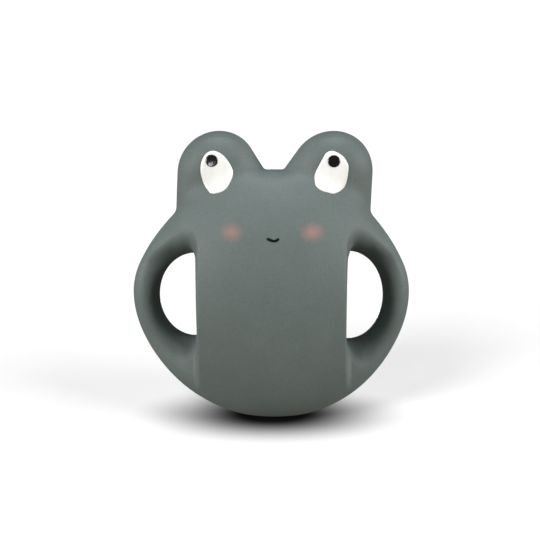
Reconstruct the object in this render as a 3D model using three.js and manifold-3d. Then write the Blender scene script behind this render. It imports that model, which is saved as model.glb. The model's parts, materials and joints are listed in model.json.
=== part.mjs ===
// Frog teething toy: a hollow rubber ball of a body with two finger grips and two eye lobes.
// The body is two half mouldings cured together, and the eyes and mouth are thick enamel set in its skin.
// Millimetres, +Z up. The frog looks along -Y and stands on the XY plane, centred on the origin.
import * as THREE from 'three';
import { mergeVertices } from 'three/addons/utils/BufferGeometryUtils.js';
import Module from 'manifold-3d';

// Driving dimensions of the body
const HALF_WIDTH = 52.4; // middle to the outside of an arm
const BELLY_DEPTH = 27; // parting plane to the front of the belly
const ARM_DEPTH = 10; // the same for the round arms beside the openings
const ARM_POWER = 3; // roundness of the arms' outer sides, 2 being an ellipse
const DOME_TOP = 95.6; // top of the head between the lobes
const MIDDLE = 48.55; // height of the widest point
const FOOT_CUT = 1.2; // how much of the round bottom the flat foot takes off
const FLANK_UP = 0.31; // how much slimmer than an ellipse the outline is above the middle
const FLANK_DOWN = 0.135; // and below it
const SWAY = 1.2; // the moulding leans this far to one side at the top of the dome
const WALL = 2.5; // rubber thickness round the air inside

// Finger grips: D-shaped openings between the belly and the arms, dished wider towards both faces
const BELLY_HALF = 28.3; // the straight side of the openings
const BELLY_LEAN = 0.02; // outward lean of that side, per millimetre of height
const BELLY_STEP = 0.6; // half the width over which the belly steps down to the arms
const ROOT_STEP = 3.5; // the step's outer half where it dies away at the foot
const BELLY_EDGE = 1; // rounding of the belly's edge
const BELLY_FLARE = 8; // the belly widens this much into the shoulders
const FLARE_RISE = 14.4; // over this height
const FLARE_START = 4.8; // from this far above the openings
const GRIP_REACH = 13.9; // straight side to the inside of the arm
const GRIP_HALF = 17.2; // half the height of an opening
const GRIP_OFFSET = 0.7; // straight side to the centre of the round side
const GRIP_DROP = 1.05; // openings' centre below the middle
const DISH_SLOPE = 1; // how fast the openings widen towards the faces
const DISH_BEND = 4.5; // rounding of the waist between the two faces
const DISH_TOP = 0.7; // share of that slope under the shoulders
const CREST_EDGE = 4; // rounding of the arms' crests
const CREST_START = 2; // the rounding grows from the belly's edge to the crest
const CREST_END = 9;
const WALL_JOIN = 0.6; // fillet between belly and arm at the parting plane
const WALL_JOIN_DEEP = 7; // and near the faces, below the openings' middle
const WALL_JOIN_START = 2;
const WALL_JOIN_END = 12;
const SHOULDER_DROP = 4.8; // the arms start to thicken this far below the openings' top
const SHOULDER_RISE = 15.5; // and are as deep as the belly this much higher
const ROOT_START = 2.8; // they thicken again from this far above the openings' bottom
const ROOT_FALL = 27; // and have run into the belly this much lower

// Eye lobes
const LOBE_SPREAD = 21.6; // middle to the centre of a lobe
const LOBE_HEIGHT = 94.3; // foot to the centre of a lobe
const LOBE_RADIUS = 14.95;
const LOBE_DEPTH = 11.5; // half the thickness of a lobe, front to back
const LOBE_BACK = 5; // lobes sit this far behind the parting plane
const LOBE_STEM = 13.3; // straight height of the lobes' outer sides
const LOBE_FLANK = THREE.MathUtils.degToRad(33.2); // slope of their inner sides
const LOBE_POWER = 2.6; // flatness of their fronts, 2 being round
const LOBE_JOIN = 1.2; // fillet to the dome in the notch between the lobes
const LOBE_JOIN_DEEP = 9; // and at the lobes' fronts
const NOTCH_BACK = 6; // the crisp part of the notch sits this far behind the parting plane
const LOBE_JOIN_START = 5; // and the fillet grows from this far off it
const LOBE_JOIN_END = 17;

// Enamel eyes and mouth
const CLEARANCE = 0.3; // gap round each piece of enamel in its pocket
const ENAMEL_SEAT = 0.5; // enamel below the skin
const ENAMEL_PROUD = 0.4; // and above it
const EYE_HEIGHT = 15.9;
const EYE_RISE = 2.1; // eyes' centres above the lobes' centres
const PUPIL_RADIUS = 2.25;
const PUPIL_RISE = 4.4; // above the eye's centre
const PUPIL_PROUD = 0.25; // above the white
const MOUTH_WIDTH = 4.8;
const MOUTH_HEIGHT = 75; // foot to the corners of the smile
const MOUTH_SAG = 1.9; // control point of the smile below its corners
const MOUTH_STROKE = 1;
const MOUTH_SINK = 0.2; // the stroke's centre below the skin

// Hand-painted whites: the lobe's side and the shift across it, the width, and the outline, counterclockwise,
// in half widths and half heights
const EYES = [
  {
    name: 'left',
    side: -1,
    shift: 0,
    width: 12.4,
    pupilShift: -1.6,
    outline: [
      [-0.25, 1], [-0.72, 0.82], [-0.95, 0.46], [-1, 0.08], [-0.91, -0.28],
      [-0.66, -0.74], [-0.26, -1], [0.4, -0.81], [0.9, -0.34], [0.99, -0.02], [0.78, 0.43], [0.34, 0.82],
    ],
  },
  {
    name: 'right',
    side: 1,
    shift: -0.4,
    width: 13,
    pupilShift: 0.8,
    outline: [
      [0.09, 1], [-0.43, 0.85], [-0.72, 0.48], [-0.89, 0.1], [-1, -0.27], [-0.88, -0.63], [-0.5, -0.87],
      [0.02, -1], [0.52, -0.83], [0.78, -0.6], [0.92, -0.26], [0.99, 0.06], [0.9, 0.48], [0.54, 0.85],
    ],
  },
];

// Facet sizes
const SKIN_CELL = BELLY_HALF / 8; // a row of facets lies on the straight side of the openings
const CAVITY_CELL = 6;
const PLANE_SOFTNESS = 0.05; // how much a facet corner keeps to the middle of its cell's crossings
const CORNER_REACH = 0.45; // of a cell, so that neighbouring corners stay apart
const PARTING_ROUNDS = 4;
const EYE_POINTS = 36;
const PUPIL_POINTS = 20;
const PATCH_RINGS = [0.45, 0.8, 1];
const STROKE_SIDES = 10;
const STROKE_STEPS = 10;

// Places that follow from the dimensions
const GRIP_HEIGHT = MIDDLE - GRIP_DROP;
const GRIP_TOP = GRIP_HEIGHT + GRIP_HALF;
const GRIP_CENTRE = BELLY_HALF + GRIP_OFFSET;
const SHOULDER_LOW = GRIP_TOP - SHOULDER_DROP;
const ROOT_HIGH = GRIP_HEIGHT - GRIP_HALF + ROOT_START;
const FLARE_LOW = GRIP_TOP + FLARE_START;
const LOBE_ROOT = LOBE_HEIGHT - LOBE_STEM;
const LOBE_TOP = LOBE_HEIGHT + LOBE_RADIUS;
const MARGIN = 8; // room round the body for the facet grid and the cutting boxes
const FAR = 1.5 * (BELLY_DEPTH + LOBE_DEPTH); // well in front of every skin

const wasm = await Module();
wasm.setup();

// Soft maximum and minimum of two distances, and two ways from 0 to 1: a smooth step, and one that starts
// at once
function softMax(a, b, width) {
  const overlap = Math.max(width - Math.abs(a - b), 0) / width;
  return Math.max(a, b) + overlap * overlap * width / 4;
}
const softMin = (a, b, width) => -softMax(-a, -b, width);
const step = (low, high, value) => THREE.MathUtils.smoothstep(value, low, high);
const rise = (low, high, value) => 1 - THREE.MathUtils.clamp((high - value) / (high - low), 0, 1) ** 2;
const lerp = THREE.MathUtils.lerp;

// Sideways lean of the moulding at a height
const sway = (z) => SWAY * ((z - MIDDLE) / (DOME_TOP - MIDDLE)) ** 2;

// Level of the front outline: 0 in the middle, 1 on the outline
function outlineLevel(x, z) {
  const above = z > MIDDLE;
  const t = (z - MIDDLE) / (above ? DOME_TOP - MIDDLE : MIDDLE + FOOT_CUT);
  const slim = Math.max(1 - t * t, 0) * t * t * (above ? FLANK_UP : FLANK_DOWN);
  return Math.hypot(x / (HALF_WIDTH * (1 - slim)), t);
}

// Level of the ball: as deep as the belly in the middle and thinner in the arms, which end in it at the foot
function coreLevel(x, y, z) {
  const root = step(ROOT_HIGH - ROOT_FALL, ROOT_HIGH, z);
  const side = rise(BELLY_HALF - BELLY_STEP, BELLY_HALF + lerp(ROOT_STEP, BELLY_STEP, root), Math.abs(x));
  const arm = side * root * (1 - step(SHOULDER_LOW, SHOULDER_LOW + SHOULDER_RISE, z));
  const power = lerp(2, ARM_POWER, arm);
  const depth = lerp(BELLY_DEPTH, ARM_DEPTH, arm);
  return (outlineLevel(x, z) ** power + (Math.abs(y) / depth) ** power) ** (1 / power);
}

// Level of the openings' round side
function gripLevel(x, y, z) {
  return Math.hypot((Math.abs(x) - GRIP_CENTRE) / (GRIP_REACH - GRIP_OFFSET), (z - GRIP_HEIGHT) / GRIP_HALF);
}

// Slope of a field at a point, by differences
function slope(field, x, y, z) {
  const e = 0.03;
  return new THREE.Vector3(
    field(x + e, y, z) - field(x - e, y, z),
    field(x, y + e, z) - field(x, y - e, z),
    field(x, y, z + e) - field(x, y, z - e),
  ).divideScalar(2 * e);
}

// Distance to the surface where a level is 1
function levelDistance(level, x, y, z) {
  return (level(x, y, z) - 1) / Math.max(slope(level, x, y, z).length(), 1e-3);
}

// Half width of the belly between the openings
function bellyHalf(z) {
  const lean = BELLY_LEAN * THREE.MathUtils.clamp(z - GRIP_HEIGHT, -GRIP_HALF, GRIP_HALF);
  return BELLY_HALF + lean + BELLY_FLARE * step(FLARE_LOW, FLARE_LOW + FLARE_RISE, z);
}

// Ball with its two dished openings
function torso(x, y, z) {
  const high = step(GRIP_HEIGHT, GRIP_TOP, z);
  const dish = lerp(1, DISH_TOP, high) * DISH_SLOPE * (Math.hypot(y, DISH_BEND) - DISH_BEND);
  const scoop = (dish - levelDistance(gripLevel, x, y, z)) / Math.hypot(1, DISH_SLOPE / Math.SQRT2);
  const deep = (1 - high) * step(WALL_JOIN_START, WALL_JOIN_END, Math.abs(y));
  const join = lerp(WALL_JOIN, WALL_JOIN_DEEP, deep);
  const kept = softMin(Math.abs(x) - bellyHalf(z), scoop, join);
  const outward = step(BELLY_HALF + CREST_START, BELLY_HALF + CREST_END, Math.abs(x));
  return softMax(levelDistance(coreLevel, x, y, z), kept, lerp(BELLY_EDGE, CREST_EDGE, outward));
}

// Eye lobe: round on top and outside, straight on its inner side
function lobe(x, y, z) {
  const out = Math.abs(x) - LOBE_SPREAD;
  const up = z - LOBE_HEIGHT;
  const onFlank = out < 0 && up < -out * Math.tan(LOBE_FLANK);
  const below = Math.min(z - LOBE_ROOT, 0);
  const flank = Math.max(up * Math.sin(LOBE_FLANK) - out * Math.cos(LOBE_FLANK), 0);
  const round = onFlank ? Math.hypot(flank, below) : Math.hypot(out, Math.max(up, 0) + below);
  const across = (round / LOBE_RADIUS) ** LOBE_POWER;
  const through = (Math.abs(y - LOBE_BACK) / LOBE_DEPTH) ** LOBE_POWER;
  return ((across + through) ** (1 / LOBE_POWER) - 1) * LOBE_DEPTH;
}

// Whole skin, and the air inside: belly and head are hollow, the arms are solid grips
function skin(x, y, z) {
  const middle = x - sway(z);
  const offNotch = Math.abs(y - NOTCH_BACK);
  const join = lerp(LOBE_JOIN, LOBE_JOIN_DEEP, step(LOBE_JOIN_START, LOBE_JOIN_END, offNotch));
  return softMin(torso(middle, y, z), lobe(middle, y, z), join);
}
function cavity(x, y, z) {
  const side = Math.abs(x - sway(z)) - bellyHalf(z);
  return Math.max(skin(x, y, z), side, -z) + WALL;
}

// A cell's corners, its edges as pairs of corners, and its faces as lists of edges
const CORNERS = [0, 1, 2, 3, 4, 5, 6, 7].map((corner) => [corner & 1, (corner >> 1) & 1, corner >> 2]);
const CELL_EDGES = [
  [0, 1], [2, 3], [4, 5], [6, 7], [0, 2], [1, 3], [4, 6], [5, 7], [0, 4], [1, 5], [2, 6], [3, 7],
];
const CELL_FACES = [[0, 1, 4, 5], [2, 3, 6, 7], [0, 2, 8, 9], [1, 3, 10, 11], [4, 6, 8, 10], [5, 7, 9, 11]];

// The three ways of a grid edge, and the four cells' edges round it that are this grid edge
const EDGE_RINGS = [[[1, 0, 0], [3, 2, 0, 1]], [[0, 1, 0], [7, 5, 4, 6]], [[0, 0, 1], [11, 10, 8, 9]]];

// Sheets of the surface in a cell, each a list of crossed edges that follow each other over the cell's faces
function cellSheets(inside) {
  const sheetOf = new Map();
  CELL_EDGES.forEach(([a, b], edge) => {
    if (inside[a] !== inside[b]) sheetOf.set(edge, [edge]);
  });
  const join = (first, second) => {
    const both = [...new Set([...sheetOf.get(first), ...sheetOf.get(second)])];
    for (const edge of both) sheetOf.set(edge, both);
  };
  for (const face of CELL_FACES) {
    const crossed = face.filter((edge) => sheetOf.has(edge));
    if (crossed.length === 2) join(...crossed);
    if (crossed.length < 4) continue;
    for (const corner of CORNERS.keys()) {
      const around = crossed.filter((edge) => CELL_EDGES[edge].includes(corner));
      if (inside[corner] && around.length === 2) join(...around);
    }
  }
  return new Set(sheetOf.values());
}

// Closed mesh of the surface where a field is 0, on a grid with a row of cells centred on the parting plane
function fieldGeometry(field, cell) {
  const halfX = Math.ceil((HALF_WIDTH + MARGIN) / cell);
  const halfY = Math.ceil((BELLY_DEPTH + MARGIN) / cell);
  const countZ = Math.ceil((LOBE_TOP + 2 * MARGIN) / cell);
  const count = [2 * halfX + 2, 2 * halfY + 2, countZ + 1];
  const low = [-(halfX + 0.5) * cell, -(halfY + 0.5) * cell, -MARGIN];
  const at = (i, axis) => low[axis] + i * cell;
  const index = (i, j, k) => (i * count[1] + j) * count[2] + k;
  const values = new Float64Array(count[0] * count[1] * count[2]);
  for (let i = 0; i < count[0]; i++) {
    for (let j = 0; j < count[1]; j++) {
      for (let k = 0; k < count[2]; k++) values[index(i, j, k)] = field(at(i, 0), at(j, 1), at(k, 2));
    }
  }

  // Vertices of a cell by its crossed edges: one for each sheet of the surface in the cell
  const positions = [];
  const cells = new Map();
  function cellVertices(i, j, k) {
    const key = index(i, j, k);
    if (cells.has(key)) return cells.get(key);
    const places = CORNERS.map(([x, y, z]) => new THREE.Vector3(at(i + x, 0), at(j + y, 1), at(k + z, 2)));
    const levels = CORNERS.map(([x, y, z]) => values[index(i + x, j + y, k + z)]);
    const centre = places[0].clone().lerp(places[7], 0.5);
    const vertices = new Map();
    for (const sheet of cellSheets(levels.map((level) => level < 0))) {
      const crossings = sheet.map((edge) => {
        const [a, b] = CELL_EDGES[edge];
        return places[a].clone().lerp(places[b], levels[a] / (levels[a] - levels[b]));
      });
      const point = cellPoint(field, crossings, centre, cell);
      for (const edge of sheet) vertices.set(edge, positions.length / 3);
      positions.push(point.x, point.y, point.z);
    }
    cells.set(key, vertices);
    return vertices;
  }

  // A square face round each grid edge that crosses the surface, split along its shorter diagonal
  const faces = [];
  const corner = (v) => new THREE.Vector3().fromArray(positions, 3 * v);
  function addFace(ring, inward) {
    const [a, b, c, d] = inward ? ring.reverse() : ring;
    const short = corner(a).distanceTo(corner(c)) < corner(b).distanceTo(corner(d));
    faces.push(...(short ? [a, b, c, a, c, d] : [a, b, d, b, c, d]));
  }
  for (let i = 1; i < count[0] - 1; i++) {
    for (let j = 1; j < count[1] - 1; j++) {
      for (let k = 1; k < count[2] - 1; k++) {
        const inside = values[index(i, j, k)] < 0;
        for (const [[x, y, z], edges] of EDGE_RINGS) {
          if (inside === values[index(i + x, j + y, k + z)] < 0) continue;
          const ring = edges.map((edge) => {
            const [a, b, c] = CORNERS[CELL_EDGES[edge][0]];
            return cellVertices(i - a, j - b, k - c).get(edge);
          });
          addFace(ring, !inside);
        }
      }
    }
  }
  return indexed(positions, faces);
}

// Corner of the facets in one cell: where the surface's tangent planes at the cell's edges meet, so that the
// body's edges stay crisp. In the row on the parting plane the corner is then moved along that plane.
function cellPoint(field, crossings, centre, cell) {
  const mean = new THREE.Vector3();
  for (const crossing of crossings) mean.addScaledVector(crossing, 1 / crossings.length);
  const sum = new Array(9).fill(0);
  const pull = new THREE.Vector3();
  for (const crossing of crossings) {
    const normal = slope(field, crossing.x, crossing.y, crossing.z).normalize();
    const n = normal.toArray();
    n.forEach((a, row) => n.forEach((b, column) => { sum[3 * row + column] += a * b; }));
    pull.addScaledVector(normal, normal.dot(crossing.clone().sub(mean)));
  }
  for (const diagonal of [0, 4, 8]) sum[diagonal] += PLANE_SOFTNESS;
  const point = mean.add(pull.applyMatrix3(new THREE.Matrix3().fromArray(sum).invert()));
  const reach = new THREE.Vector3().setScalar(CORNER_REACH * cell);
  point.clamp(centre.clone().sub(reach), centre.clone().add(reach));
  if (Math.abs(centre.y) > cell / 4) return point;
  point.y = 0;
  for (let round = 0; round < PARTING_ROUNDS; round++) {
    const way = slope(field, point.x, 0, point.z).setY(0);
    point.addScaledVector(way, -field(point.x, 0, point.z) / way.lengthSq());
  }
  return point;
}

function indexed(positions, faces) {
  const geometry = new THREE.BufferGeometry();
  geometry.setAttribute('position', new THREE.Float32BufferAttribute(positions, 3));
  geometry.setIndex(faces);
  return geometry;
}

// Front skin's Y at a place on the face, found by halving
function frontSkin(x, z) {
  let outside = -FAR;
  let inside = 0;
  for (let halving = 0; halving < 40; halving++) {
    const middle = (outside + inside) / 2;
    if (skin(x, middle, z) > 0) outside = middle;
    else inside = middle;
  }
  return inside;
}

// Patch of even thickness laid on the front skin, from a counterclockwise outline round a centre
function skinPatch(centre, outline, proud, seat) {
  const positions = [];
  const faces = [];
  const points = outline.length;
  const place = (x, z, offset) => positions.push(x, frontSkin(x, z) + offset, z) / 3 - 1;
  for (const [offset, front] of [[-proud, true], [seat, false]]) {
    const first = place(centre.x, centre.y, offset);
    for (const share of PATCH_RINGS) {
      for (const p of outline) place(centre.x + share * p.x, centre.y + share * p.y, offset);
    }
    const add = (a, b, c) => faces.push(...(front ? [a, b, c] : [a, c, b]));
    for (let i = 0; i < points; i++) {
      const next = (i + 1) % points;
      add(first, first + 1 + i, first + 1 + next);
      for (let ring = 1; ring < PATCH_RINGS.length; ring++) {
        const inner = first + 1 + (ring - 1) * points;
        const outer = inner + points;
        add(inner + i, outer + i, outer + next);
        add(inner + i, outer + next, inner + next);
      }
    }
  }
  const half = positions.length / 6;
  const rim = half - points;
  for (let i = 0; i < points; i++) {
    const next = (i + 1) % points;
    faces.push(rim + i, half + rim + i, half + rim + next);
    faces.push(rim + i, half + rim + next, rim + next);
  }
  return indexed(positions, faces);
}

// Outline of an eye white round its centre, grown by a margin all round
function eyeOutline(eye, grow) {
  const corners = eye.outline.map(([u, v]) => new THREE.Vector3(
    u * (eye.width / 2 + grow),
    v * (EYE_HEIGHT / 2 + grow),
    0,
  ));
  return new THREE.CatmullRomCurve3(corners, true).getSpacedPoints(EYE_POINTS).slice(0, EYE_POINTS);
}

function circleOutline(radius) {
  const outline = [];
  for (let i = 0; i < PUPIL_POINTS; i++) {
    const angle = 2 * Math.PI * i / PUPIL_POINTS;
    outline.push(new THREE.Vector2(radius * Math.cos(angle), radius * Math.sin(angle)));
  }
  return outline;
}

// Stroke of the smile laid in the front skin, as a round bar along a curve
function smile(radius, overrun) {
  const half = MOUTH_WIDTH / 2;
  const middle = sway(MOUTH_HEIGHT);
  const arc = new THREE.QuadraticBezierCurve(
    new THREE.Vector2(middle - half, MOUTH_HEIGHT),
    new THREE.Vector2(middle, MOUTH_HEIGHT - MOUTH_SAG),
    new THREE.Vector2(middle + half, MOUTH_HEIGHT),
  );
  const laid = arc.getPoints(STROKE_STEPS).map(
    (p) => new THREE.Vector3(p.x, frontSkin(p.x, p.y) + MOUTH_SINK, p.y),
  );
  for (const [end, beside] of [[laid[0], laid[1]], [laid.at(-1), laid.at(-2)]]) {
    end.addScaledVector(end.clone().sub(beside).normalize(), overrun);
  }
  const section = new THREE.Shape().absarc(0, 0, radius, 0, 2 * Math.PI);
  return new THREE.ExtrudeGeometry(section, {
    steps: STROKE_STEPS,
    curveSegments: STROKE_SIDES,
    extrudePath: new THREE.CatmullRomCurve3(laid),
  });
}

// Solids for joining and cutting, and the way back to a geometry
function solid(geometry) {
  const bare = geometry.clone();
  bare.deleteAttribute('normal');
  bare.deleteAttribute('uv');
  const merged = mergeVertices(bare, 1e-4);
  return new wasm.Manifold(new wasm.Mesh({
    numProp: 3,
    vertProperties: new Float32Array(merged.attributes.position.array),
    triVerts: new Uint32Array(merged.index.array),
  }));
}
function toGeometry(body) {
  const mesh = body.getMesh();
  const geometry = indexed(Array.from(mesh.vertProperties), Array.from(mesh.triVerts));
  geometry.computeVertexNormals();
  return geometry;
}

// Half of the space above the foot, in front of the parting plane or behind it
function halfSpace(facing) {
  const depth = BELLY_DEPTH + MARGIN;
  const height = LOBE_TOP + MARGIN;
  const box = new THREE.BoxGeometry(2 * (HALF_WIDTH + MARGIN), depth, height);
  return solid(box.translate(0, facing * depth / 2, height / 2));
}

const rubber = new THREE.MeshStandardMaterial({ color: 0x76807e, roughness: 0.65, metalness: 0 });
const whiteEnamel = new THREE.MeshStandardMaterial({ color: 0xf3f2ee, roughness: 0.25, metalness: 0 });
const blackEnamel = new THREE.MeshStandardMaterial({ color: 0x151515, roughness: 0.2, metalness: 0 });

const frog = new THREE.Group();
function addPiece(name, geometry, material) {
  const mesh = new THREE.Mesh(geometry, material);
  mesh.name = name;
  frog.add(mesh);
}

// Hollow body, and what is cut into its front half for the enamel
const hollowBody = solid(fieldGeometry(skin, SKIN_CELL)).subtract(solid(fieldGeometry(cavity, CAVITY_CELL)));
let frontShell = hollowBody.intersect(halfSpace(-1));
const pocketFloor = ENAMEL_SEAT + CLEARANCE;

// Eyes: a white in its pocket, with the pupil through a hole in it
for (const eye of EYES) {
  const height = LOBE_HEIGHT + EYE_RISE;
  const centre = new THREE.Vector2(sway(height) + eye.side * LOBE_SPREAD + eye.shift, height);
  const pupilCentre = new THREE.Vector2(centre.x + eye.pupilShift, centre.y + PUPIL_RISE);
  const pupilHole = skinPatch(pupilCentre, circleOutline(PUPIL_RADIUS + CLEARANCE), FAR / 4, pocketFloor);
  const whiteDisc = skinPatch(centre, eyeOutline(eye, 0), ENAMEL_PROUD, ENAMEL_SEAT);
  const white = solid(whiteDisc).subtract(solid(pupilHole));
  const pupil = skinPatch(pupilCentre, circleOutline(PUPIL_RADIUS), ENAMEL_PROUD + PUPIL_PROUD, ENAMEL_SEAT);
  const pocket = skinPatch(centre, eyeOutline(eye, CLEARANCE), FAR / 4, pocketFloor);
  frontShell = frontShell.subtract(solid(pocket));
  addPiece(`eye_white_${eye.name}`, toGeometry(white), whiteEnamel);
  addPiece(`pupil_${eye.name}`, pupil, blackEnamel);
}

// Mouth in its groove
frontShell = frontShell.subtract(solid(smile(MOUTH_STROKE / 2 + CLEARANCE, CLEARANCE)));
addPiece('mouth', smile(MOUTH_STROKE / 2, 0), blackEnamel);

// Half mouldings, face to face on the parting plane
addPiece('front_shell', toGeometry(frontShell), rubber);
addPiece('back_shell', toGeometry(hollowBody.intersect(halfSpace(1))), rubber);

export default frog;
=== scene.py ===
# %% [markdown]
# # Dressing a rubber frog teether
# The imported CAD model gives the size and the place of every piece. This lesson gives the pieces
# their looks. The body is made again as one smooth skin, the eyes and the smile as thick drops of
# enamel, and each surface gets a finish made of nodes. The frame is in metres, +Z is up, and the
# frog looks along -Y.

# %% Load the frame
import json
import math

import bmesh
import bpy
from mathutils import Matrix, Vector
from mathutils.bvhtree import BVHTree

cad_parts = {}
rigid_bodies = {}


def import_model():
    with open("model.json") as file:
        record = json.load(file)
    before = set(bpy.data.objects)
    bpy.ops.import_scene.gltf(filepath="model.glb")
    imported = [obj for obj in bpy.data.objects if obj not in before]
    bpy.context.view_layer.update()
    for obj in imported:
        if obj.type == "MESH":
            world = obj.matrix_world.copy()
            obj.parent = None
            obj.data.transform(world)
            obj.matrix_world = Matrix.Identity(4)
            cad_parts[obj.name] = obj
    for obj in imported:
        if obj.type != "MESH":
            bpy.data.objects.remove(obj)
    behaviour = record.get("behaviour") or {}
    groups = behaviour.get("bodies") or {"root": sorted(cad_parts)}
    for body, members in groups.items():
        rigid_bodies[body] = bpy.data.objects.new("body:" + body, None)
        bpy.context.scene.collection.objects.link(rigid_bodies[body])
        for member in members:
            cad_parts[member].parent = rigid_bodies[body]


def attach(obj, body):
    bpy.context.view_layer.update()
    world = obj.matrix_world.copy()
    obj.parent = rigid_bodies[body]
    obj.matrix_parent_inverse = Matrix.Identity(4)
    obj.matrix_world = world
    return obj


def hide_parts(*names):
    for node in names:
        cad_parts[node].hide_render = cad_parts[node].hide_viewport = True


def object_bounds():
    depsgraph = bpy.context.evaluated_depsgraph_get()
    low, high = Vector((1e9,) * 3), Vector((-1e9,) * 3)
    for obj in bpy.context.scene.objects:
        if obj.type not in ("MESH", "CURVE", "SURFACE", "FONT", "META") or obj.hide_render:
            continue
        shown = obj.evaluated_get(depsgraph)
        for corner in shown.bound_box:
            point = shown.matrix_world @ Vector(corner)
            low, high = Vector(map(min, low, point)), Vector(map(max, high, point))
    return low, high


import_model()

MM = 0.001
cad_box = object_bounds()
scene = bpy.context.scene
print("CAD box in mm:", [[round(v / MM, 1) for v in corner] for corner in cad_box])

# %% [markdown]
# ## Camera
# The toy was photographed from the front and slightly above, from far enough away that its sides
# hardly converge. A lens could be found by trial. Here it is worked out from one measure: how much
# of the toy's plane one pixel of the picture covers.

# %% Camera
PICTURE_PIXELS = 540
PIXEL = 0.38 * MM
CAMERA_DISTANCE = 0.9
CAMERA_RISE = math.radians(15)
AIM = Vector((-0.5 * MM, 0, 56.8 * MM))
SENSOR = 36

camera = bpy.data.objects.new("camera", bpy.data.cameras.new("camera"))
camera.data.sensor_width = SENSOR
camera.data.lens = SENSOR * CAMERA_DISTANCE / (PICTURE_PIXELS * PIXEL)
camera.location = AIM + CAMERA_DISTANCE * Vector((0, -math.cos(CAMERA_RISE), math.sin(CAMERA_RISE)))
camera.rotation_euler = (math.pi / 2 - CAMERA_RISE, 0, 0)
scene.collection.objects.link(camera)
scene.camera = camera
scene.view_settings.view_transform = "Standard"
print("lens:", round(camera.data.lens, 1), "mm")

# %% [markdown]
# ## Node trees as expressions
# A long formula is hard to read as a list of nodes and links. This small class wraps a socket, so
# that a plain Python expression adds the Math nodes. Its method called node makes any other node.


# %% Sockets in expressions
class Wire:
    """A socket that takes part in expressions."""

    def __init__(self, socket):
        self.socket = socket

    def node(self, kind, settings=None, inputs=None, output=0):
        """Any node: its type, its settings, its sockets' values or links, and the output to go on with."""
        tree = self.socket.id_data
        made = tree.nodes.new(kind)
        for name, value in (settings or {}).items():
            setattr(made, name, value)
        for name, value in (inputs or {}).items():
            if isinstance(value, Wire):
                tree.links.new(value.socket, made.inputs[name])
            else:
                made.inputs[name].default_value = value
        return Wire(made.outputs[output]) if made.outputs else None

    def __getitem__(self, name):
        return Wire(self.socket.node.outputs[name])

    def math(self, operation, first, second):
        vectors = any(isinstance(v, Wire) and v.socket.type == "VECTOR" for v in (first, second))
        kind = "ShaderNodeVectorMath" if vectors else "ShaderNodeMath"
        spread = [(v, v, v) if vectors and isinstance(v, (int, float)) else v for v in (first, second)]
        return self.node(kind, {"operation": operation}, dict(enumerate(spread)))

    def __add__(self, other):
        return self.math("ADD", self, other)

    def __sub__(self, other):
        return self.math("SUBTRACT", self, other)

    def __rsub__(self, other):
        return self.math("SUBTRACT", other, self)

    def __mul__(self, other):
        return self.math("MULTIPLY", self, other)

    def __truediv__(self, other):
        return self.math("DIVIDE", self, other)

    def __rtruediv__(self, other):
        return self.math("DIVIDE", other, self)

    def __pow__(self, other):
        return self.math("POWER", self, other)

    def __abs__(self):
        return self.node("ShaderNodeMath", {"operation": "ABSOLUTE"}, {0: self})

    __radd__ = __add__
    __rmul__ = __mul__


def larger(a, b):
    return a.math("MAXIMUM", a, b)


def smaller(a, b):
    return a.math("MINIMUM", a, b)


def step(value, low, high, start=0, end=1):
    """Smooth change from start to end while the value goes from low to high."""
    ends = {"From Min": low, "From Max": high, "To Min": start, "To Max": end}
    return value.node("ShaderNodeMapRange", {"interpolation_type": "SMOOTHSTEP"}, {"Value": value, **ends})


def rise(value, low, high):
    """Change from 0 to 1 that starts at full speed and ends slowly."""
    ends = {"From Min": low, "From Max": high, "To Min": 1, "To Max": 0}
    left = value.node("ShaderNodeMapRange", {}, {"Value": value, **ends})
    return 1 - left * left


def length(x, y, z=0):
    corner = x.node("ShaderNodeCombineXYZ", {}, {0: x, 1: y, 2: z})
    return x.node("ShaderNodeVectorMath", {"operation": "LENGTH"}, {0: corner}, "Value")


def split(place):
    parts = place.node("ShaderNodeSeparateXYZ", {}, {0: place})
    return parts["X"], parts["Y"], parts["Z"]


print("expression helpers ready")

# %% [markdown]
# ## Moulded body
# The real body is one hollow skin of natural rubber, cured in a two-part mould. It could be
# sculpted, or pieced together from subdivision cages, but every form on it follows a rule: a ball
# with a slimmer outline, openings that are dished wider towards both faces, and lobes that melt into
# the head. So the body is a rule here too. Each group of nodes says how far a place is from a
# surface, and the sizes of the mould are its named inputs.

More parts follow.
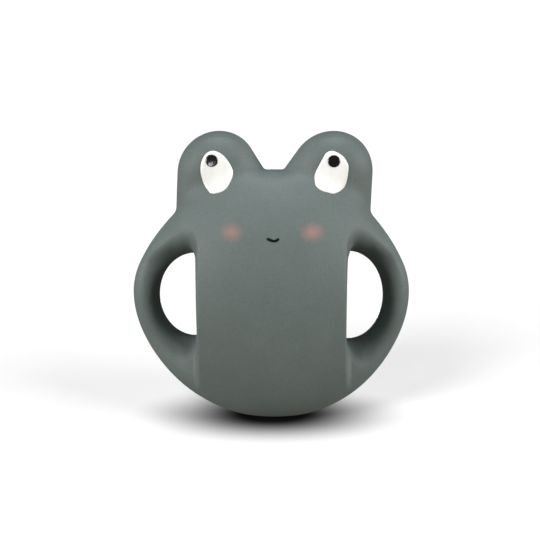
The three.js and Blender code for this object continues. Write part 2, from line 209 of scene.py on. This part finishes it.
# %% Sizes of the mould, in millimetres
box_low, box_high = (Vector(corner) / MM for corner in cad_box)
SIZES = {
    "Half Width": 52.4,
    "Belly Depth": 27.0,
    "Arm Depth": 10.0,
    "Arm Power": 3.0,
    "Dome Top": 95.6,
    "Middle": 48.55,
    "Foot Cut": 1.2,
    "Foot Edge": 0.8,
    "Flank Up": 0.31,
    "Flank Down": 0.135,
    "Sway": 1.2,
    "Belly Half": 28.6,
    "Belly Lean": 0.02,
    "Belly Step": 0.6,
    "Root Step": 1.8,
    "Belly Edge": 1.0,
    "Belly Flare": 8.0,
    "Flare Low": 69.5,
    "Flare Rise": 14.4,
    "Grip Reach": 13.4,
    "Grip Half": 16.9,
    "Right Grip Swell": 0.5,
    "Grip Centre": 29.0,
    "Grip Height": 47.2,
    "Dish Slope": 1.0,
    "Dish Bend": 4.5,
    "Dish Top": 0.95,
    "Crest Edge": 4.0,
    "Crest Top": 5.5,
    "Crest Start": 2.0,
    "Crest End": 9.0,
    "Wall Join": 0.6,
    "Wall Join Deep": 7.0,
    "Wall Join Start": 2.0,
    "Wall Join End": 12.0,
    "Top Join Start": 5.0,
    "Top Join End": 16.0,
    "Shoulder Low": 59.9,
    "Shoulder Rise": 15.5,
    "Root High": 33.1,
    "Root Fall": 31.0,
    "Lobe Spread": 21.6,
    "Lobe Height": 94.3,
    "Lobe Radius": 14.95,
    "Right Lobe Swell": 0.6,
    "Lobe Depth": 11.5,
    "Lobe Back": 5.0,
    "Lobe Root": 81.0,
    "Lobe Flank": math.radians(33.2),
    "Lobe Power": 2.6,
    "Lobe Join": 1.2,
    "Lobe Join Deep": 9.0,
    "Lobe Join Start": 5.0,
    "Lobe Join End": 17.0,
    "Notch Back": 6.0,
}
print(len(SIZES), "sizes; box in mm from", tuple(box_low), "to", tuple(box_high))


# %% Groups of nodes that hold a rule
class Sizes:
    """Named size inputs of a tree, each added where a rule first asks for it."""

    def __init__(self, tree):
        self.tree = tree
        self.entry = tree.nodes.new("NodeGroupInput")

    def __getitem__(self, name):
        if name not in self.tree.interface.items_tree:
            socket = self.tree.interface.new_socket(name, in_out="INPUT", socket_type="NodeSocketFloat")
            socket.default_value = SIZES[name]
        return Wire(self.entry.outputs[name])


def rule(name, work_out):
    """Group that works out one value from a place in millimetres and the sizes."""
    tree = bpy.data.node_groups.new(name, "GeometryNodeTree")
    tree.interface.new_socket("Place", in_out="INPUT", socket_type="NodeSocketVector")
    tree.interface.new_socket("Value", in_out="OUTPUT", socket_type="NodeSocketFloat")
    sizes = Sizes(tree)
    result = work_out(sizes["Place"], sizes)
    result.node("NodeGroupOutput", {}, {"Value": result})
    return tree


def use(group, place, sizes):
    """Value of a rule at a place, with its sizes linked by their names."""
    names = [item.name for item in group.interface.items_tree if item.in_out == "INPUT"]
    inputs = {name: place if name == "Place" else sizes[name] for name in names}
    return place.node("GeometryNodeGroup", {"node_tree": group}, inputs)


PROBE = 0.1


def slope(group, place, sizes):
    """Steepest slope of a rule at a place, by differences."""
    parts = []
    for way in ((PROBE, 0, 0), (0, PROBE, 0), (0, 0, PROBE)):
        parts.append((use(group, place + way, sizes) - use(group, place - way, sizes)) / (2 * PROBE))
    return place.node("ShaderNodeCombineXYZ", {}, dict(enumerate(parts)))


print("rules have a probe of", PROBE, "mm")

# %% [markdown]
# ### Ball, openings and lobes
# The ball's level is 1 on its skin. It is slimmer than an ellipsoid between the middle and the
# ends, and at the belly's edge its depth steps down to the arms. A level divided by its slope is
# nearly a distance in millimetres, which the smooth maximum and minimum of the Math node then join
# with fillets of a known width.


# %% Level of the ball
def ball_level(place, size):
    x, y, z = split(place)
    above = z.math("GREATER_THAN", z, size["Middle"])
    under_span = size["Middle"] + size["Foot Cut"]
    over_span = size["Dome Top"] - size["Middle"]
    t = (z - size["Middle"]) / (under_span + above * (over_span - under_span))
    flank = size["Flank Down"] + above * (size["Flank Up"] - size["Flank Down"])
    slim = larger(1 - t * t, 0) * t * t * flank
    outline = length(x / (size["Half Width"] * (1 - slim)), t)
    root_low = size["Root High"] - size["Root Fall"]
    ledge = step(z, root_low, size["Root High"], size["Root Step"], size["Belly Step"])
    side = rise(abs(x), size["Belly Half"] - size["Belly Step"], size["Belly Half"] + ledge)
    side = side * step(z, size["Shoulder Low"], size["Shoulder Low"] + size["Shoulder Rise"], 1, 0)
    side = side * step(z, root_low, size["Root High"])
    depth = size["Belly Depth"] + side * (size["Arm Depth"] - size["Belly Depth"])
    power = 2 + side * (size["Arm Power"] - 2)
    return (outline ** power + abs(y / depth) ** power) ** (1 / power)


ball = rule("Ball level", ball_level)
print(ball.name, "has", len(ball.nodes), "nodes")

# %% Distance to the ball with its two dished openings
LEAST_SLOPE = 1e-3
FILLET = 1.5  # the smooth maximum's width for each millimetre of fillet
SWELL_DROP = 0.3  # how far the taller opening sits lower, as a share of its swell


def soft_larger(a, b, width):
    return a.node("ShaderNodeMath", {"operation": "SMOOTH_MAX"}, {0: a, 1: b, 2: width * FILLET})


def soft_smaller(a, b, width):
    return a.node("ShaderNodeMath", {"operation": "SMOOTH_MIN"}, {0: a, 1: b, 2: width * FILLET})


def opening_distance(x, z, size):
    """Distance to the round side of an opening, positive outside it."""
    beside = size["Grip Centre"] / 2
    swell = step(x, beside * -1, beside, -1, 1) * size["Right Grip Swell"]
    half = size["Grip Half"] + swell
    across = (abs(x) - size["Grip Centre"]) / size["Grip Reach"]
    up = (z - size["Grip Height"] + swell * SWELL_DROP) / half
    level = length(across, up)
    steep = length(across / size["Grip Reach"], up / half) / larger(level, LEAST_SLOPE)
    return (level - 1) / larger(steep, LEAST_SLOPE)


def torso_distance(place, size):
    x, y, z = split(place)
    steep = slope(ball, place, size)
    steep = place.node("ShaderNodeVectorMath", {"operation": "LENGTH"}, {0: steep}, "Value")
    core = (use(ball, place, size) - 1) / larger(steep, LEAST_SLOPE)
    grip_top = size["Grip Height"] + size["Grip Half"]
    high = step(z, size["Grip Height"], grip_top)
    flare = step(z, size["Flare Low"], size["Flare Low"] + size["Flare Rise"]) * size["Belly Flare"]
    along_opening = smaller(larger(z - size["Grip Height"], size["Grip Half"] * -1), size["Grip Half"])
    belly = size["Belly Half"] + along_opening * size["Belly Lean"] + flare
    bend = length(y, size["Dish Bend"]) - size["Dish Bend"]
    dish = (1 + high * (size["Dish Top"] - 1)) * size["Dish Slope"] * bend
    scoop = (dish - opening_distance(x, z, size)) / length(size["Dish Slope"] / math.sqrt(2), 1)
    near_top = step(abs(y), size["Top Join Start"], size["Top Join End"]) * high
    near_face = step(abs(y), size["Wall Join Start"], size["Wall Join End"]) * (1 - high) + near_top
    join = size["Wall Join"] + near_face * (size["Wall Join Deep"] - size["Wall Join"])
    kept = soft_smaller(abs(x) - belly, scoop, join)
    crest_start = size["Belly Half"] + size["Crest Start"]
    crest_end = size["Belly Half"] + size["Crest End"]
    edge = step(abs(x), crest_start, crest_end, size["Belly Edge"], size["Crest Edge"])
    by_wall = step(abs(x), size["Belly Half"] - size["Crest Start"], crest_start)
    edge = edge + by_wall * high * size["Crest Top"]
    return soft_larger(core, kept, edge)


torso = rule("Torso distance", torso_distance)
print(torso.name, "has", len(torso.nodes), "nodes")


# %% Distance to the eye lobes
def lobe_distance(place, size):
    x, y, z = split(place)
    beside = size["Lobe Spread"] / 2
    swell = step(x, beside * -1, beside) * size["Right Lobe Swell"]
    out = abs(x) - size["Lobe Spread"]
    up = z - size["Lobe Height"] + swell
    below = smaller(z - size["Lobe Root"], 0)
    flank_sine = out.node("ShaderNodeMath", {"operation": "SINE"}, {0: size["Lobe Flank"]})
    flank_cosine = out.node("ShaderNodeMath", {"operation": "COSINE"}, {0: size["Lobe Flank"]})
    inner_side = out.math("LESS_THAN", out, 0)
    on_flank = inner_side * up.math("LESS_THAN", up * flank_cosine, out * flank_sine * -1)
    flank = length(larger(up * flank_sine - out * flank_cosine, 0), below)
    cap = length(out, larger(up, 0) + below)
    across = (cap + on_flank * (flank - cap)) / (size["Lobe Radius"] + swell)
    through = abs(y - size["Lobe Back"]) / size["Lobe Depth"]
    level = (across ** size["Lobe Power"] + through ** size["Lobe Power"]) ** (1 / size["Lobe Power"])
    return (level - 1) * size["Lobe Depth"]


lobes = rule("Lobe distance", lobe_distance)
print(lobes.name, "has", len(lobes.nodes), "nodes")


# %% Distance to the whole skin, which leans a little and is flat under its foot
def skin_distance(place, size):
    x, y, z = split(place)
    lean = ((z - size["Middle"]) / (size["Dome Top"] - size["Middle"])) ** 2 * size["Sway"]
    upright = place.node("ShaderNodeCombineXYZ", {}, {0: x - lean, 1: y, 2: z})
    near, far = size["Lobe Join Start"], size["Lobe Join End"]
    join = step(abs(y - size["Notch Back"]), near, far, size["Lobe Join"], size["Lobe Join Deep"])
    whole = soft_smaller(use(torso, upright, size), use(lobes, upright, size), join)
    return soft_larger(whole, z * -1, size["Foot Edge"])


skin = rule("Skin distance", skin_distance)
print(skin.name, "has", len(skin.nodes), "nodes")

# %% [markdown]
# ### From the rule to a mesh
# Volume Cube reads the rule on a fine grid, and Volume to Mesh draws the skin through it. A grid
# rounds off every edge that is narrower than a cell, so each vertex is then settled: it is moved
# along the rule's slope until its distance is 0. The modifier gets every size by its socket's
# identifier, and its result becomes a plain mesh.

# %% Tree of the moulded body
CELL = 0.8
MARGIN = 3
SETTLINGS = 3


def settled(place, sizes):
    """Place on the skin that is nearest to a place beside it."""
    way = slope(skin, place, sizes)
    steep = place.node("ShaderNodeVectorMath", {"operation": "DOT_PRODUCT"}, {0: way, 1: way}, "Value")
    return place - way * (use(skin, place, sizes) / larger(steep, LEAST_SLOPE))


def moulded_body(material):
    tree = bpy.data.node_groups.new("Moulded body", "GeometryNodeTree")
    tree.interface.new_socket("Geometry", in_out="OUTPUT", socket_type="NodeSocketGeometry")
    sizes = Sizes(tree)
    start = Wire(tree.nodes.new("GeometryNodeInputPosition").outputs[0])
    place = start / MM
    low = box_low - Vector((MARGIN, MARGIN, MARGIN))
    high = box_high + Vector((MARGIN, MARGIN, MARGIN))
    counts = [math.ceil((top - bottom) / CELL) for bottom, top in zip(low, high)]
    ends = {"Min": low * MM, "Max": high * MM, "Background": -MARGIN}
    cells = dict(zip(("Resolution X", "Resolution Y", "Resolution Z"), counts))
    depth = use(skin, place, sizes) * -1
    volume = start.node("GeometryNodeVolumeCube", {}, {"Density": depth, **ends, **cells})
    mesh = start.node("GeometryNodeVolumeToMesh", {}, {"Volume": volume, "Threshold": 0})
    for _ in range(SETTLINGS):
        moved = {"Geometry": mesh, "Position": settled(place, sizes) * MM}
        mesh = start.node("GeometryNodeSetPosition", {}, moved)
    mesh = start.node("GeometryNodeSetShadeSmooth", {}, {0: mesh})
    mesh = start.node("GeometryNodeRealizeInstances", {}, {0: mesh})
    mesh = start.node("GeometryNodeSetMaterial", {}, {"Geometry": mesh, "Material": material})
    mesh.node("NodeGroupOutput", {}, {0: mesh})
    return tree


def grown(name, tree):
    """Plain mesh object from a tree, with every size set by its socket's identifier."""
    seed = bpy.data.objects.new(name, bpy.data.meshes.new(name))
    scene.collection.objects.link(seed)
    modifier = seed.modifiers.new("rule", "NODES")
    modifier.node_group = tree
    for item in tree.interface.items_tree:
        if item.in_out == "INPUT":
            modifier[item.identifier] = SIZES[item.name]
    view = bpy.context.evaluated_depsgraph_get()
    mesh = bpy.data.meshes.new_from_object(seed.evaluated_get(view), depsgraph=view)
    seed.modifiers.remove(modifier)
    seed.data = mesh
    return seed


print("grid cell:", CELL, "mm")

# %% [markdown]
# ## Finishes
# Natural rubber comes out of the mould matte, with a fine tooth and small specks. Its blush is
# sprayed on, so it has no edge. Painted pictures could give all this, but they blur close up. So each
# finish is worked out from Object coordinates in millimetres, and nothing slides when the view
# changes.


# %% Material helpers
def finish(name, colour, roughness):
    """New material with its shader, and a wire at the place in millimetres."""
    material = bpy.data.materials.new(name)
    material.use_nodes = True
    shader = material.node_tree.nodes["Principled BSDF"]
    shader.inputs["Base Color"].default_value = (*colour, 1)
    shader.inputs["Roughness"].default_value = roughness
    place = Wire(material.node_tree.nodes.new("ShaderNodeTexCoord").outputs["Object"]) / MM
    return material, shader, place


def feed(shader, name, wire):
    shader.id_data.links.new(wire.socket, shader.inputs[name])


def noise(place, size, detail=2.0, roughness=0.5):
    """Noise from 0 to 1 whose bumps are about so many millimetres wide."""
    inputs = {"Vector": place, "Scale": 1 / size, "Detail": detail, "Roughness": roughness}
    return place.node("ShaderNodeTexNoise", {}, inputs)


MIX_COLOURS = {"data_type": "RGBA"}
MIX_FACTOR, MIX_FROM, MIX_TO, MIX_RESULT = 0, 6, 7, 2


def mix(share, start, end):
    """Colour that goes from start to end with the share."""
    colours = [c if isinstance(c, Wire) else (*c, 1) for c in (start, end)]
    inputs = {MIX_FACTOR: share, MIX_FROM: colours[0], MIX_TO: colours[1]}
    return share.node("ShaderNodeMix", MIX_COLOURS, inputs, MIX_RESULT)


def bump(height, depth):
    """Normal from a height whose range of 1 is so many millimetres deep."""
    return height.node("ShaderNodeBump", {}, {"Height": height, "Distance": depth * MM, "Strength": 1})


print("finish helpers ready")

# %% Rubber
RUBBER = (0.108, 0.133, 0.128)
RUBBER_DARK = (0.083, 0.102, 0.098)
RUBBER_LIGHT = (0.133, 0.164, 0.158)
SPECK = (0.2, 0.235, 0.228)
BLUSH = (0.42, 0.19, 0.165)
CLOUD_SIZE, GRAIN_SIZE, SPECK_SIZE, TOOTH_SIZE = 9, 0.8, 0.5, 0.35
CLOUD_SHARE, GRAIN_SHARE, SPECK_SHARE, TOOTH_SHARE = 0.35, 0.65, 0.35, 0.25
SPECK_START, SPECK_FULL = 0.74, 0.8
CHEEKS = {-14.7: 0.5, 15.2: 0.63}  # places across the face, with the blush's strength
CHEEK_HEIGHT = 76.6
CHEEK_CORE, CHEEK_FADE = -1.0, 5.8
CHEEK_SQUASH = 1.3
SPRAY_SIZE, SPRAY_SCATTER = 2.5, 1.2
SMOOTHEST, CLOUD_ROUGHNESS = 0.55, 0.1
PARTING_HALF, PARTING_FADE = 0.1, 0.35
RUBBER_RELIEF = 0.12
RUBBER_SPECULAR = 0.35

rubber, rubber_shader, place = finish("matte_rubber", RUBBER, SMOOTHEST + CLOUD_ROUGHNESS / 2)
x, y, z = split(place)
clouds = noise(place, CLOUD_SIZE, 3)
grain = noise(place, GRAIN_SIZE, 2)
colour = mix(clouds * CLOUD_SHARE + grain * GRAIN_SHARE, RUBBER_DARK, RUBBER_LIGHT)
specks = step(noise(place, SPECK_SIZE, 1), SPECK_START, SPECK_FULL)
colour = mix(specks * SPECK_SHARE, colour, SPECK)
front = y.math("LESS_THAN", y, 0)
for cheek, strength in CHEEKS.items():
    scatter = (noise(place, SPRAY_SIZE) - 0.5) * SPRAY_SCATTER
    away = length(x - cheek, (z - CHEEK_HEIGHT) * CHEEK_SQUASH) + scatter
    colour = mix(step(away, CHEEK_CORE, CHEEK_FADE, strength, 0) * front, colour, BLUSH)
feed(rubber_shader, "Base Color", colour)
feed(rubber_shader, "Roughness", SMOOTHEST + clouds * CLOUD_ROUGHNESS)
tooth = noise(place, TOOTH_SIZE, 3)
parting = step(abs(y), PARTING_HALF, PARTING_FADE, 1, 0)
feed(rubber_shader, "Normal", bump(tooth * TOOTH_SHARE + parting, RUBBER_RELIEF))
rubber_shader.inputs["Specular IOR Level"].default_value = RUBBER_SPECULAR
print(rubber.name, "has", len(rubber.node_tree.nodes), "nodes")

# %% [markdown]
# ### Enamel
# The eyes and the smile are brushed on in thick, glossy enamel, which is never quite even. A flat
# white and a flat black would look printed. So a noise that is stretched along the brush makes the
# paint a little thinner, duller and lower in places.

# %% Enamel
WHITE = (0.87, 0.87, 0.85)
WHITE_THIN = (0.76, 0.76, 0.74)
BLACK = (0.006, 0.006, 0.007)
BLACK_THIN = (0.011, 0.01, 0.012)
WHITE_ROUGHNESS, BLACK_ROUGHNESS = 0.16, 0.14
BRUSH_SIZE, BRUSH_STRETCH = 2.2, (1, 1, 0.4)
BRUSH_ROUGHNESS, BRUSH_RELIEF = 0.08, 0.05


def enamel(name, colour, thin_colour, roughness):
    """Thick glossy paint: a little uneven where the brush left it thinner."""
    material, shader, place = finish(name, colour, roughness)
    brushed = noise(place * BRUSH_STRETCH, BRUSH_SIZE)
    feed(shader, "Base Color", mix(brushed, thin_colour, colour))
    feed(shader, "Roughness", roughness + brushed * BRUSH_ROUGHNESS)
    feed(shader, "Normal", bump(brushed, BRUSH_RELIEF))
    return material


white_enamel = enamel("white_enamel", WHITE, WHITE_THIN, WHITE_ROUGHNESS)
black_enamel = enamel("black_enamel", BLACK, BLACK_THIN, BLACK_ROUGHNESS)
print(white_enamel.name, "and", black_enamel.name, "made")

# %% Grow the body
body = grown("rubber_body", moulded_body(rubber))
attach(body, "root")
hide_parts("front_shell", "back_shell")
pieces = [body]
print("body:", len(body.data.vertices), "vertices,", len(body.data.polygons), "faces")

# %% [markdown]
# ## Eyes
# On the real toy these are drops of thick enamel, put on by hand in a shallow pocket, so their
# outlines differ and their edges are round. A decal would look flat from the side. So each is a
# closed pillow that is draped over the rubber: rays cast from the front find the skin, and rings of
# points stand on it with a rounded rim.

# %% Drape points on the skin
skin_tree = BVHTree.FromPolygons(
    [vertex.co for vertex in body.data.vertices],
    [list(face.vertices) for face in body.data.polygons],
)
IN_FRONT = 100 * MM


def on_skin(x, z, proud):
    """Point at a place on the face in millimetres, standing so far proud of the rubber."""
    hit = skin_tree.ray_cast(Vector((x * MM, -IN_FRONT, z * MM)), Vector((0, 1, 0)))[0]
    return hit - Vector((0, proud * MM, 0))


def lean_at(z):
    return SIZES["Sway"] * ((z - SIZES["Middle"]) / (SIZES["Dome Top"] - SIZES["Middle"])) ** 2


print("skin at the smile:", tuple(round(v / MM, 2) for v in on_skin(0, 70, 0)))

# %% Pillow of enamel
ENAMEL_SEAT = 0.4  # the enamel's underside, below the skin
RIM = 0.16  # share of a pillow's half width that its round rim takes
PILLOW_SHARES = (0.3, 0.55, 0.75, 0.86, 0.92, 0.96, 0.985, 1.0)


def pillow(name, centre, outline, proud, material):
    """Closed drop of enamel with a round rim, from an outline of offsets round its centre."""
    shape = bmesh.new()
    rings = []
    for upper in (True, False):
        for share in PILLOW_SHARES if upper else reversed(PILLOW_SHARES):
            rim = max((share - (1 - RIM)) / RIM, 0)
            crown = (proud + ENAMEL_SEAT) * math.sqrt(max(1 - rim * rim, 0))
            height = crown - ENAMEL_SEAT if upper else -ENAMEL_SEAT
            if not upper and share == 1:
                continue
            rings.append([shape.verts.new(on_skin(centre[0] + share * u, centre[1] + share * v, height))
                          for u, v in outline])
    for inner, outer in zip(rings, rings[1:]):
        for i in range(len(outline)):
            j = (i + 1) % len(outline)
            shape.faces.new((inner[i], outer[i], outer[j], inner[j]))
    for ring, height in ((rings[0], proud), (rings[-1], -ENAMEL_SEAT)):
        middle = shape.verts.new(on_skin(*centre, height))
        for i in range(len(outline)):
            shape.faces.new((middle, ring[i], ring[(i + 1) % len(outline)]))
    return finished(name, shape, material)


def finished(name, shape, material):
    """Mesh object from a closed shape."""
    bmesh.ops.recalc_face_normals(shape, faces=shape.faces)
    mesh = bpy.data.meshes.new(name)
    shape.to_mesh(mesh)
    shape.free()
    mesh.materials.append(material)
    mesh.shade_smooth()
    piece = bpy.data.objects.new(name, mesh)
    scene.collection.objects.link(piece)
    return piece


def put_on(piece, node):
    """Lets a piece stand for a CAD node."""
    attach(piece, "root")
    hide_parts(node)
    pieces.append(piece)


def smooth_ring(corners, count):
    """Points evenly spread in parameter on a closed smooth curve through the corners."""
    points = []
    for i in range(count):
        t = i * len(corners) / count
        k = int(t)
        before, start, end, after = (Vector(corners[(k + d) % len(corners)]) for d in (-1, 0, 1, 2))
        f = t - k
        bend = 2 * before - 5 * start + 4 * end - after
        twist = 3 * start - before - 3 * end + after
        points.append(start + 0.5 * f * (end - before + f * (bend + f * twist)))
    return points


print("pillow rings:", len(PILLOW_SHARES))

# %% Eyes
EYE_HALF_HEIGHT = 7.75
EYE_HEIGHT = 96.4
EYE_POINTS = 72
PUPIL_RADIUS = 2.42
PUPIL_POINTS = 40
WHITE_PROUD, PUPIL_PROUD = 0.45, 0.7
EYES = {
    "left": {
        "middle": -21.6,
        "half_width": 6.2,
        "pupil_shift": -1.9,
        "pupil_rise": 4.25,
        "outline": [
            (-0.35, 1), (-0.7, 0.84), (-0.94, 0.48), (-1, 0.12), (-0.96, -0.17),
            (-0.78, -0.63), (-0.55, -0.87), (-0.33, -1), (0.14, -0.94), (0.55, -0.76),
            (0.81, -0.46), (1, -0.06), (0.85, 0.32), (0.47, 0.75), (0.03, 0.97),
        ],
    },
    "right": {
        "middle": 21.2,
        "half_width": 6.5,
        "pupil_shift": 0.9,
        "pupil_rise": 4.05,
        "outline": [
            (0.11, 1), (-0.29, 0.92), (-0.53, 0.62), (-0.78, 0.23), (-0.96, -0.08), (-0.99, -0.33),
            (-0.91, -0.61), (-0.6, -0.82), (-0.2, -0.93), (0.13, -1), (0.51, -0.91), (0.78, -0.72),
            (0.93, -0.33), (1, 0.2), (0.91, 0.48), (0.64, 0.78),
        ],
    },
}
turns = [2 * math.pi * i / PUPIL_POINTS for i in range(PUPIL_POINTS)]
circle = [(PUPIL_RADIUS * math.cos(turn), PUPIL_RADIUS * math.sin(turn)) for turn in turns]
for side, eye in EYES.items():
    centre = (lean_at(EYE_HEIGHT) + eye["middle"], EYE_HEIGHT)
    corners = [(eye["half_width"] * u, EYE_HALF_HEIGHT * v) for u, v in eye["outline"]]
    outline = [(p.x, p.y) for p in smooth_ring(corners, EYE_POINTS)]
    pupil = (centre[0] + eye["pupil_shift"], centre[1] + eye["pupil_rise"])
    white_piece = pillow(f"white_{side}", centre, outline, WHITE_PROUD, white_enamel)
    pupil_piece = pillow(f"pupil_dot_{side}", pupil, circle, PUPIL_PROUD, black_enamel)
    put_on(white_piece, f"eye_white_{side}")
    put_on(pupil_piece, f"pupil_{side}")
    print(side, "eye at", [round(v, 1) for v in centre])

# %% [markdown]
# ### Smile
# The smile is one short stroke of a fine brush, a little lopsided, with blunt ends. A curve with a
# bevel could make it, but its underside has to follow the rubber. So rings of points are set round a
# curved line, and each point stands on the skin under it.

# %% Smile
MOUTH_HALF = 2.3
MOUTH_SHIFT = 0.2
MOUTH_HEIGHT = 74.9
MOUTH_SAG = 0.85
MOUTH_SKEW = 0.4
STROKE = 0.57
STROKE_PROUD = 0.22
STROKE_STEPS, STROKE_SIDES = 32, 14
UNDERSIDE = 1.5  # the stroke's depth in the rubber, as a share of how far it stands proud
END_BLUNTNESS, LEAST_END = 8, 0.003

stroke = bmesh.new()
rings = []
for i in range(STROKE_STEPS + 1):
    t = -math.cos(math.pi * i / STROKE_STEPS)
    width = STROKE * math.sqrt(max(1 - t ** END_BLUNTNESS, LEAST_END))
    u = lean_at(MOUTH_HEIGHT) + MOUTH_SHIFT + MOUTH_HALF * t
    v = MOUTH_HEIGHT - MOUTH_SAG * (1 - t * t) * (1 + MOUTH_SKEW * t)
    climb = MOUTH_SAG * (2 * t * (1 + MOUTH_SKEW * t) - MOUTH_SKEW * (1 - t * t))
    along = Vector((MOUTH_HALF, climb)).normalized()
    ring = []
    for k in range(STROKE_SIDES):
        turn = 2 * math.pi * k / STROKE_SIDES
        off = width * math.cos(turn)
        proud = STROKE_PROUD * math.sin(turn) * (1 if math.sin(turn) > 0 else UNDERSIDE)
        ring.append(stroke.verts.new(on_skin(u - off * along.y, v + off * along.x, proud)))
    rings.append(ring)
for first, second in zip(rings, rings[1:]):
    for k in range(STROKE_SIDES):
        after = (k + 1) % STROKE_SIDES
        stroke.faces.new((first[k], second[k], second[after], first[after]))
stroke.faces.new(rings[0])
stroke.faces.new(rings[-1])
smile = finished("smile_stroke", stroke, black_enamel)
put_on(smile, "mouth")
print("smile:", len(smile.data.polygons), "faces")

# %% [markdown]
# ## Paper floor
# The toy stood on white paper, with a soft contact shadow where its round underside nearly touches it.
# Light alone could make that shadow, but the shading on the toy shows that the paper threw little light
# back. So the paper has two shaders: the camera sees the white one, with the contact shadow painted
# into its colour, and the toy gets light from the dull one.

# %% Paper floor
FLOOR_HALF = 20
PAPER_SEEN = 0.8
PAPER_THROWN = (0.19, 0.17, 0.145)
# place, reach and darkest share of the contact shadow painted into the paper's colour
SHADE_MIDDLE, SHADE_FORWARD = 0.6, 3
SHADE_NEAR, SHADE_FAR = 7.6, 39
SHADE_STRETCH = 1.48
SHADE_DARKEST = 0.005


def paper_shader(place, light):
    """Matte paper that gives back so much light."""
    settings = {"Base Color": light, "Roughness": 1, "Specular IOR Level": 0}
    return place.node("ShaderNodeBsdfPrincipled", {}, settings)


bpy.ops.mesh.primitive_plane_add(size=2 * FLOOR_HALF)
floor = bpy.context.object
floor.name = "paper_floor"
paper = bpy.data.materials.new("paper")
paper.use_nodes = True
paper.node_tree.nodes.clear()
place = Wire(paper.node_tree.nodes.new("ShaderNodeTexCoord").outputs["Object"]) / MM
x, y, z = split(place)
# painted contact shadow: the white paper's colour darkens towards the spot under the toy
off_toy = length((x - SHADE_MIDDLE) / SHADE_STRETCH, y + SHADE_FORWARD)
seen = paper_shader(place, step(off_toy, SHADE_NEAR, SHADE_FAR, SHADE_DARKEST, 1) * PAPER_SEEN)
thrown = paper_shader(place, (*PAPER_THROWN, 1))
to_camera = place.node("ShaderNodeLightPath", {}, {}, "Is Camera Ray")
shaders = {0: to_camera, 1: thrown, 2: seen}
place.node("ShaderNodeOutputMaterial", {}, {"Surface": place.node("ShaderNodeMixShader", {}, shaders)})
floor.data.materials.append(paper)
print("floor:", 2 * FLOOR_HALF, "m wide")

# %% [markdown]
# ## Lamps
# The toy was lit by two low, soft lamps and a large one above. Suns with a wide angle act as large
# lamps far away, so their shadows are soft. The shadows on the paper come from higher lamps than the
# shading on the toy, as in a picture that was put together from two exposures, so each lamp lights
# only one of the two. A lamp behind the toy lights the back for other views, and two small ones are
# there for the reflection in the left pupil.

# %% Lamps
NEUTRAL = (1, 1, 1)
WARM = (1, 0.995, 0.97)
COOL = (0.95, 1, 1.05)
TOY_LAMPS = {
    "left_lamp": (-58, 13, 28, 3.45, WARM),
    "right_lamp": (70, 13, 28, 3.3, WARM),
    "top_lamp": (180, 86, 36, 2.4, COOL),
    "back_lamp": (180, -13, 12, 2.6, WARM),
}
FLOOR_LAMPS = {
    "left_floor_lamp": (-34, 38, 24, 1.5, NEUTRAL),
    "right_floor_lamp": (57, 42, 28, 1.0, NEUTRAL),
    "top_floor_lamp": (0, 90, 0, 2.45, NEUTRAL),
}
GLEAM_LAMPS = {
    "low_gleam_lamp": (-11, 2, 3, 0.2, NEUTRAL),
    "high_gleam_lamp": (-10, 7, 3, 0.1, NEUTRAL),
}


def towards(azimuth, elevation):
    """Direction of a lamp: azimuth from the front towards +X, then up from the floor."""
    turn, tilt = math.radians(azimuth), math.radians(elevation)
    return Vector((math.sin(turn) * math.cos(tilt), -math.cos(turn) * math.cos(tilt), math.sin(tilt)))


def together(name, things):
    """Group of objects that lamps can be told about."""
    group = bpy.data.collections.new(name)
    for thing in things:
        group.objects.link(thing)
    return group


toy = together("toy", pieces)


def hang(lamps, lit):
    """Lamps that light this group alone and are shaded by the toy alone."""
    for name, (azimuth, elevation, spread, power, colour) in lamps.items():
        lamp = bpy.data.objects.new(name, bpy.data.lights.new(name, "SUN"))
        lamp.data.angle = math.radians(spread)
        lamp.data.energy = power
        lamp.data.color = colour
        lamp.data.use_shadow = spread > 0
        lamp.rotation_euler = towards(azimuth, elevation).to_track_quat("Z", "Y").to_euler()
        lamp.light_linking.receiver_collection = lit
        lamp.light_linking.blocker_collection = toy
        scene.collection.objects.link(lamp)


hang(TOY_LAMPS, toy)
hang(FLOOR_LAMPS, together("paper_alone", [floor]))
hang(GLEAM_LAMPS, together("left_pupil", [bpy.data.objects["pupil_dot_left"]]))
print("lamps for toy, floor and gleam:", len(TOY_LAMPS), len(FLOOR_LAMPS), len(GLEAM_LAMPS))

# %% [markdown]
# ## White surroundings
# Behind the paper the picture is plain white. A white world would also light the toy from all sides
# and wash out its shading. So a Mix Shader shows white to the camera and almost nothing to the toy.

# %% White surroundings
SURROUNDINGS = 0.02

world = bpy.data.worlds.new("white_room")
world.use_nodes = True
world.node_tree.nodes.clear()
to_camera = Wire(world.node_tree.nodes.new("ShaderNodeLightPath").outputs["Is Camera Ray"])
glows = [
    to_camera.node("ShaderNodeBackground", {}, {"Color": (1, 1, 1, 1), "Strength": strength})
    for strength in (SURROUNDINGS, 1)
]
sky = to_camera.node("ShaderNodeMixShader", {}, {0: to_camera, 1: glows[0], 2: glows[1]})
sky.node("ShaderNodeOutputWorld", {}, {"Surface": sky})
scene.world = world
print("surroundings:", SURROUNDINGS, "of white")

# %% [markdown]
# ## Sizes
# The dressed toy has to stay the size of the CAD model. The view layer is brought up to date
# before the frame is closed.

# %% Update the view layer
bpy.context.view_layer.update()
